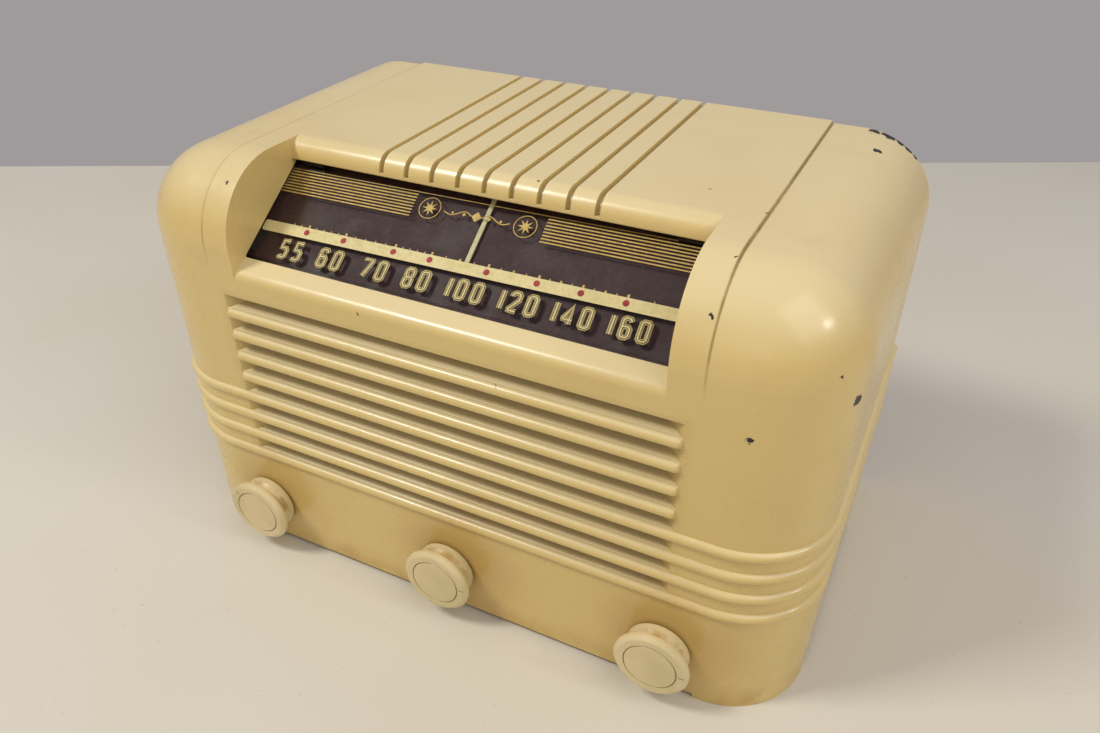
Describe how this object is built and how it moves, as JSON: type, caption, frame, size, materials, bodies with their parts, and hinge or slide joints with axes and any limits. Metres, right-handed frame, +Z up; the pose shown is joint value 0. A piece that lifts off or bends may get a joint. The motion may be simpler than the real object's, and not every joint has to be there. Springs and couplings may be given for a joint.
{
  "type": "tabletop radio",
  "caption": "Late-1940s mains table radio with louvred moulded cabinet, slide-rule dial under a fluted hood, and volume, tone and tuning knobs.",
  "frame": {"origin": "centre of the footprint of the whole radio, knobs included, on the table", "axes": "+X to the listener's right, -Y towards the listener, +Z up"},
  "size_m": [0.3306, 0.1918, 0.2032],
  "materials": {
    "ivory_paint": "aged satin-gloss paint on moulded plastic",
    "knob_ivory": "pale moulded plastic, satin",
    "grille_cloth": "woven",
    "hardboard": "pressed board",
    "steel": "plated",
    "chassis_steel": "dull cadmium plate",
    "speaker_steel": "grey enamel",
    "clear_glass": "clear",
    "dial_paint": "dark purple-brown",
    "pointer_paint": "cream",
    "brass": "turned",
    "aluminium": "dull",
    "bakelite": "brown phenolic",
    "dial_cord": "waxed cord",
    "cone_paper": "pressed paper",
    "magnet_iron": "bare iron",
    "coil_wrap": "waxed paper",
    "tube_shell": "black enamel",
    "tube_glass": "clear, smoked near the top",
    "lamp_glass": "clear",
    "antenna_wire": "cotton-covered wire",
    "rubber": "aged"
  },
  "bodies": {
    "cabinet": {"cabinet": "ivory_paint", "grille_cloth": "grille_cloth", "speaker_baffle": "hardboard", "baffle_screws": "steel", "dial_glass": "clear_glass", "dial_plate": "dial_paint", "dial_clips": "steel", "pointer_rail": "steel", "dial_brackets": "steel", "chassis": "chassis_steel", "chassis_screws": "steel", "tuning_bush": "brass", "control_nuts": "brass", "volume_control": "bakelite", "tone_control": "bakelite", "capacitor_bracket": "steel", "capacitor_frame": "steel", "capacitor_stator": "aluminium", "capacitor_insulators": "bakelite", "pointer_cord": "dial_cord", "drive_cord": "dial_cord", "speaker_frame": "speaker_steel", "speaker_cone": "cone_paper", "speaker_magnet": "magnet_iron", "speaker_screws": "steel", "output_transformer_core": "magnet_iron", "output_transformer_coil": "coil_wrap", "if_can_1": "aluminium", "if_can_2": "aluminium", "tube_converter": "tube_shell", "tube_converter_base": "bakelite", "tube_if": "tube_shell", "tube_if_base": "bakelite", "tube_detector": "tube_shell", "tube_detector_base": "bakelite", "tube_output": "tube_glass", "tube_output_base": "bakelite", "tube_rectifier": "tube_glass", "tube_rectifier_base": "bakelite", "tube_sockets": "bakelite", "filter_capacitor": "coil_wrap", "oscillator_coil": "coil_wrap", "dial_lamp_sockets": "brass", "dial_lamps": "lamp_glass", "loop_antenna": "antenna_wire", "rear_cover": "hardboard", "rear_cover_screws": "steel", "cord_grommet": "rubber"},
    "volume_knob": {"knob_volume": "knob_ivory", "volume_shaft": "steel"},
    "tone_knob": {"knob_tone": "knob_ivory", "tone_shaft": "steel"},
    "tuning_knob": {"knob_tuning": "knob_ivory", "tuning_shaft": "brass"},
    "tuning_gang": {"capacitor_rotor": "aluminium", "tuning_drum": "aluminium"},
    "pointer": {"pointer": "pointer_paint"},
    "idler_left": {"idler_left": "brass"},
    "idler_right": {"idler_right": "brass"},
    "idler_centre": {"idler_centre": "brass"}
  },
  "joints": [
    {"name": "volume_turn", "type": "hinge", "parent": "cabinet", "child": "volume_knob", "pos_m": [-0.1066, 0, 0.0256], "axis": [0, 1, 0], "range_deg": [-105, 195]},
    {"name": "tone_turn", "type": "hinge", "parent": "cabinet", "child": "tone_knob", "pos_m": [0, 0, 0.0256], "axis": [0, 1, 0], "range_deg": [-240, 60]},
    {"name": "gang_turn", "type": "hinge", "parent": "cabinet", "child": "tuning_gang", "pos_m": [0.072, 0, 0.099], "axis": [0, 1, 0], "range_deg": [-91.7, 88.3]},
    {"name": "tuning_turn", "type": "hinge", "parent": "cabinet", "child": "tuning_knob", "pos_m": [0.1066, 0, 0.0256], "axis": [0, 1, 0], "range_deg": [-841.9, 810.6]},
    {"name": "pointer_slide", "type": "slide", "parent": "cabinet", "child": "pointer", "axis": [1, 0, 0], "range_m": [-0.08081, 0.07781]},
    {"name": "idler_left_turn", "type": "hinge", "parent": "cabinet", "child": "idler_left", "pos_m": [-0.097, 0, 0.17301], "axis": [0, 1, 0], "range_deg": [-663, 638]},
    {"name": "idler_right_turn", "type": "hinge", "parent": "cabinet", "child": "idler_right", "pos_m": [0.097, 0, 0.17301], "axis": [0, 1, 0], "range_deg": [-663, 638]},
    {"name": "idler_centre_turn", "type": "hinge", "parent": "cabinet", "child": "idler_centre", "pos_m": [0.01452, 0, 0.15901], "axis": [0, 1, 0], "range_deg": [-638, 663]}
  ],
  "couplings": [
    {"joint": "tuning_turn", "follows": "gang_turn", "ratio": 9.1789},
    {"joint": "pointer_slide", "follows": "gang_turn", "m_per_rad": 0.050484},
    {"joint": "idler_left_turn", "follows": "gang_turn", "ratio": 7.212},
    {"joint": "idler_right_turn", "follows": "gang_turn", "ratio": 7.212},
    {"joint": "idler_centre_turn", "follows": "gang_turn", "ratio": -7.212}
  ]
}
